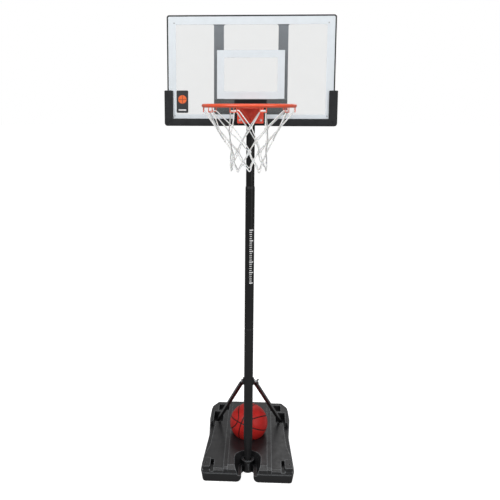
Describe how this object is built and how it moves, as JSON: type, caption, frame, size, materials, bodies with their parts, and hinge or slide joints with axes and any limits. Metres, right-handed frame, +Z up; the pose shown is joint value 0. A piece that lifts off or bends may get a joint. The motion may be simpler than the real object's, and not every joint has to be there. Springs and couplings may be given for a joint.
{
  "type": "portable basketball hoop",
  "caption": "Free-standing small basketball hoop: clear board, sprung rim and net on a telescoping pole, braced to a hollow moulded base with a ball seat.",
  "frame": {"origin": "floor level on the pole's axis, which is also the middle of the footprint", "axes": "+Z up along the pole, -Y towards the player in front of the board, +X to that player's right"},
  "size_m": [0.702, 1.02, 1.998],
  "materials": {
    "tank_plastic": "fine blow-moulded grain",
    "black_paint": "satin powder coat",
    "black_plastic": "satin moulded",
    "gasket_rubber": "matt",
    "bright_steel": "zinc plated",
    "ball_rubber": "pebbled with dark seams",
    "clear_panel": "clear, glossy",
    "frame_plastic": "satin moulded",
    "grey_paint": "satin paint",
    "pad_foam": "foam with a fine skin",
    "plate_paint": "satin paint",
    "rim_paint": "glossy powder coat",
    "net_cord": "braided cord"
  },
  "bodies": {
    "base": {"base_tank": "tank_plastic", "cap_gasket": "gasket_rubber", "lower_pole": "black_paint", "mid_pole": "black_paint", "pole_guide_bush": "black_plastic", "brace_saddle_left": "black_plastic", "brace_saddle_right": "black_plastic", "brace_left": "black_paint", "brace_right": "black_paint", "brace_pole_bolt": "bright_steel", "brace_foot_screws": "bright_steel", "lock_boss": "black_paint"},
    "cap": {"fill_cap": "black_plastic"},
    "ball": {"basketball": "ball_rubber"},
    "wing_nut": {"brace_wing_nut": "bright_steel"},
    "lock": {"lock_knob": "black_plastic", "lock_screw": "bright_steel"},
    "head": {"upper_pole": "black_paint", "pole_top_cap": "black_plastic", "backboard_panel": "clear_panel", "edge_trim": "black_plastic", "rear_frame": "frame_plastic", "cross_plate": "grey_paint", "panel_screws": "bright_steel", "pad_left": "pad_foam", "pad_right": "pad_foam", "pole_bracket": "grey_paint", "bracket_bolts": "bright_steel", "bracket_nuts": "bright_steel", "rim_back_plate": "plate_paint", "rim_mount_plate": "rim_paint", "hinge_pin": "bright_steel", "mount_bolts": "bright_steel", "mount_nuts": "bright_steel", "spring_bolt": "bright_steel", "spring_nut": "bright_steel", "breakaway_spring": "bright_steel"},
    "rim": {"rim_ring": "rim_paint", "rim_hinge_plate": "rim_paint", "rim_strut_left": "rim_paint", "rim_strut_right": "rim_paint", "net_hooks": "rim_paint", "net": "net_cord"}
  },
  "joints": [
    {"name": "height_slide", "type": "slide", "parent": "base", "child": "head", "axis": [0, 0, 1], "range_m": [-0.28, 0]},
    {"name": "rim_breakaway", "type": "hinge", "parent": "head", "child": "rim", "pos_m": [0, -0.088, 1.58], "axis": [1, 0, 0], "range_deg": [0, 18], "stiffness_Nm_per_rad": 25, "springref_deg": -22.92, "deforming": ["breakaway_spring"]},
    {"name": "lock_turn", "type": "hinge", "parent": "base", "child": "lock", "pos_m": [0, 0.04, 1.272], "axis": [0, 1, 0], "continuous": true},
    {"name": "wing_nut_turn", "type": "hinge", "parent": "base", "child": "wing_nut", "pos_m": [0.034, 0, 0.431], "axis": [1, 0, 0], "continuous": true},
    {"name": "cap_turn", "type": "hinge", "parent": "base", "child": "cap", "pos_m": [0, 0.44, 0.105], "axis": [0, 0, 1], "continuous": true},
    {"name": "ball_lift", "type": "slide", "parent": "base", "child": "ball", "axis": [0, 0.5, 0.866], "range_m": [0, 0.25]}
  ]
}
